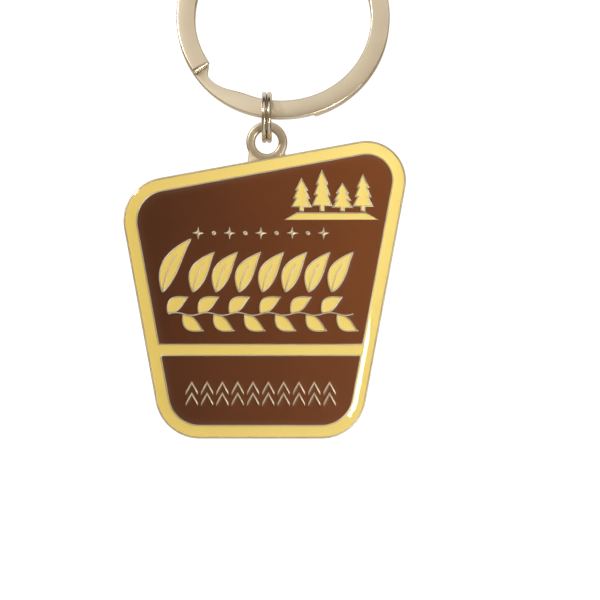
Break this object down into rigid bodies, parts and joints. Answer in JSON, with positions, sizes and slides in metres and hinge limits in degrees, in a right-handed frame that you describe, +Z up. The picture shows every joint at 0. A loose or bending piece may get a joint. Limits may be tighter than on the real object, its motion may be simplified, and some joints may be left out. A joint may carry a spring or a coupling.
{
  "type": "keychain",
  "caption": "Enamelled sign-shaped badge with an eyelet, hung by a small double wire link from a flat split key ring.",
  "frame": {"origin": "point on the inside of the key ring's rim, straight above the link, where the keychain hangs from a hook or finger", "axes": "+Z up, -Y out of the badge's enamelled front, +X to the right seen from the front"},
  "size_m": [0.0419, 0.0111, 0.0788],
  "materials": {
    "nickel_plate": "bright nickel plating, warm tone",
    "yellow_enamel": "smooth opaque soft enamel, yellow",
    "brown_enamel": "smooth opaque soft enamel, dark brown",
    "clear_resin": "clear poured epoxy dome, glossy"
  },
  "bodies": {
    "key_ring": {"key_ring": "nickel_plate"},
    "link": {"link_ring": "nickel_plate"},
    "badge": {"badge_plate": "nickel_plate", "border_enamel": "yellow_enamel", "conifer_enamel_1": "yellow_enamel", "conifer_enamel_2": "yellow_enamel", "conifer_enamel_3": "yellow_enamel", "conifer_enamel_4": "yellow_enamel", "ground_enamel": "yellow_enamel", "leaf_enamel_1": "yellow_enamel", "leaf_enamel_2": "yellow_enamel", "leaf_enamel_3": "yellow_enamel", "leaf_enamel_4": "yellow_enamel", "leaf_enamel_5": "yellow_enamel", "leaf_enamel_6": "yellow_enamel", "leaf_enamel_7": "yellow_enamel", "leaf_enamel_8": "yellow_enamel", "lower_field_enamel": "brown_enamel", "resin_dome": "clear_resin", "upper_field_enamel": "brown_enamel", "vine_leaf_enamel_1": "yellow_enamel", "vine_leaf_enamel_10": "yellow_enamel", "vine_leaf_enamel_11": "yellow_enamel", "vine_leaf_enamel_12": "yellow_enamel", "vine_leaf_enamel_2": "yellow_enamel", "vine_leaf_enamel_3": "yellow_enamel", "vine_leaf_enamel_4": "yellow_enamel", "vine_leaf_enamel_5": "yellow_enamel", "vine_leaf_enamel_6": "yellow_enamel", "vine_leaf_enamel_7": "yellow_enamel", "vine_leaf_enamel_8": "yellow_enamel", "vine_leaf_enamel_9": "yellow_enamel"}
  },
  "joints": [
    {"name": "link_swing", "type": "hinge", "parent": "key_ring", "child": "link", "pos_m": [0, -0.00569, -0.02678], "axis": [1, 0, 0], "range_deg": [-90, 90]},
    {"name": "badge_swing", "type": "hinge", "parent": "link", "child": "badge", "pos_m": [0, -0.00569, -0.03165], "axis": [0, 1, 0], "range_deg": [-18, 60]}
  ]
}
